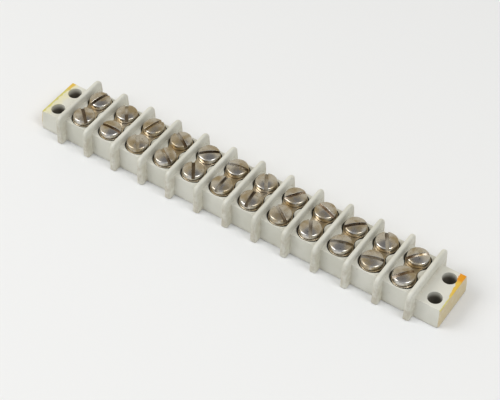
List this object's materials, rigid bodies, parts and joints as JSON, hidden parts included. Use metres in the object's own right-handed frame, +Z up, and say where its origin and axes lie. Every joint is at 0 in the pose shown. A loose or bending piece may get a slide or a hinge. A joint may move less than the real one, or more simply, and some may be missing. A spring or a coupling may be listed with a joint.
{
  "type": "barrier terminal strip",
  "caption": "Double-row barrier terminal strip: a moulded housing with upright barriers, seated dog-bone links and slotted screws, with mounting holes in both end pads.",
  "frame": {"origin": "centre of the base, where the strip rests on its mounting surface", "axes": "+X along the strip, +Y towards the back row of screws, +Z up out of the base"},
  "size_m": [0.131, 0.0202, 0.0097],
  "materials": {
    "moulding": "satin moulded, light warm grey",
    "link_plating": "nickel plated, tarnished tan",
    "screw_plating": "nickel plated, polished, tarnished in places"
  },
  "bodies": {
    "strip": {"housing": "moulding", "link_1": "link_plating", "link_2": "link_plating", "link_3": "link_plating", "link_4": "link_plating", "link_5": "link_plating", "link_6": "link_plating", "link_7": "link_plating", "link_8": "link_plating", "link_9": "link_plating", "link_10": "link_plating", "link_11": "link_plating", "link_12": "link_plating"},
    "screw_front_1": {"screw_front_1": "screw_plating"},
    "screw_front_2": {"screw_front_2": "screw_plating"},
    "screw_front_3": {"screw_front_3": "screw_plating"},
    "screw_front_4": {"screw_front_4": "screw_plating"},
    "screw_front_5": {"screw_front_5": "screw_plating"},
    "screw_front_6": {"screw_front_6": "screw_plating"},
    "screw_front_7": {"screw_front_7": "screw_plating"},
    "screw_front_8": {"screw_front_8": "screw_plating"},
    "screw_front_9": {"screw_front_9": "screw_plating"},
    "screw_front_10": {"screw_front_10": "screw_plating"},
    "screw_front_11": {"screw_front_11": "screw_plating"},
    "screw_front_12": {"screw_front_12": "screw_plating"},
    "screw_back_1": {"screw_back_1": "screw_plating"},
    "screw_back_2": {"screw_back_2": "screw_plating"},
    "screw_back_3": {"screw_back_3": "screw_plating"},
    "screw_back_4": {"screw_back_4": "screw_plating"},
    "screw_back_5": {"screw_back_5": "screw_plating"},
    "screw_back_6": {"screw_back_6": "screw_plating"},
    "screw_back_7": {"screw_back_7": "screw_plating"},
    "screw_back_8": {"screw_back_8": "screw_plating"},
    "screw_back_9": {"screw_back_9": "screw_plating"},
    "screw_back_10": {"screw_back_10": "screw_plating"},
    "screw_back_11": {"screw_back_11": "screw_plating"},
    "screw_back_12": {"screw_back_12": "screw_plating"}
  },
  "joints": [
    {"name": "loosen_front_1", "type": "slide", "parent": "strip", "child": "screw_front_1", "axis": [0, 0, 1], "range_m": [0, 0.003]},
    {"name": "loosen_front_2", "type": "slide", "parent": "strip", "child": "screw_front_2", "axis": [0, 0, 1], "range_m": [0, 0.003]},
    {"name": "loosen_front_3", "type": "slide", "parent": "strip", "child": "screw_front_3", "axis": [0, 0, 1], "range_m": [0, 0.003]},
    {"name": "loosen_front_4", "type": "slide", "parent": "strip", "child": "screw_front_4", "axis": [0, 0, 1], "range_m": [0, 0.003]},
    {"name": "loosen_front_5", "type": "slide", "parent": "strip", "child": "screw_front_5", "axis": [0, 0, 1], "range_m": [0, 0.003]},
    {"name": "loosen_front_6", "type": "slide", "parent": "strip", "child": "screw_front_6", "axis": [0, 0, 1], "range_m": [0, 0.003]},
    {"name": "loosen_front_7", "type": "slide", "parent": "strip", "child": "screw_front_7", "axis": [0, 0, 1], "range_m": [0, 0.003]},
    {"name": "loosen_front_8", "type": "slide", "parent": "strip", "child": "screw_front_8", "axis": [0, 0, 1], "range_m": [0, 0.003]},
    {"name": "loosen_front_9", "type": "slide", "parent": "strip", "child": "screw_front_9", "axis": [0, 0, 1], "range_m": [0, 0.003]},
    {"name": "loosen_front_10", "type": "slide", "parent": "strip", "child": "screw_front_10", "axis": [0, 0, 1], "range_m": [0, 0.003]},
    {"name": "loosen_front_11", "type": "slide", "parent": "strip", "child": "screw_front_11", "axis": [0, 0, 1], "range_m": [0, 0.003]},
    {"name": "loosen_front_12", "type": "slide", "parent": "strip", "child": "screw_front_12", "axis": [0, 0, 1], "range_m": [0, 0.003]},
    {"name": "loosen_back_1", "type": "slide", "parent": "strip", "child": "screw_back_1", "axis": [0, 0, 1], "range_m": [0, 0.003]},
    {"name": "loosen_back_2", "type": "slide", "parent": "strip", "child": "screw_back_2", "axis": [0, 0, 1], "range_m": [0, 0.003]},
    {"name": "loosen_back_3", "type": "slide", "parent": "strip", "child": "screw_back_3", "axis": [0, 0, 1], "range_m": [0, 0.003]},
    {"name": "loosen_back_4", "type": "slide", "parent": "strip", "child": "screw_back_4", "axis": [0, 0, 1], "range_m": [0, 0.003]},
    {"name": "loosen_back_5", "type": "slide", "parent": "strip", "child": "screw_back_5", "axis": [0, 0, 1], "range_m": [0, 0.003]},
    {"name": "loosen_back_6", "type": "slide", "parent": "strip", "child": "screw_back_6", "axis": [0, 0, 1], "range_m": [0, 0.003]},
    {"name": "loosen_back_7", "type": "slide", "parent": "strip", "child": "screw_back_7", "axis": [0, 0, 1], "range_m": [0, 0.003]},
    {"name": "loosen_back_8", "type": "slide", "parent": "strip", "child": "screw_back_8", "axis": [0, 0, 1], "range_m": [0, 0.003]},
    {"name": "loosen_back_9", "type": "slide", "parent": "strip", "child": "screw_back_9", "axis": [0, 0, 1], "range_m": [0, 0.003]},
    {"name": "loosen_back_10", "type": "slide", "parent": "strip", "child": "screw_back_10", "axis": [0, 0, 1], "range_m": [0, 0.003]},
    {"name": "loosen_back_11", "type": "slide", "parent": "strip", "child": "screw_back_11", "axis": [0, 0, 1], "range_m": [0, 0.003]},
    {"name": "loosen_back_12", "type": "slide", "parent": "strip", "child": "screw_back_12", "axis": [0, 0, 1], "range_m": [0, 0.003]}
  ]
}
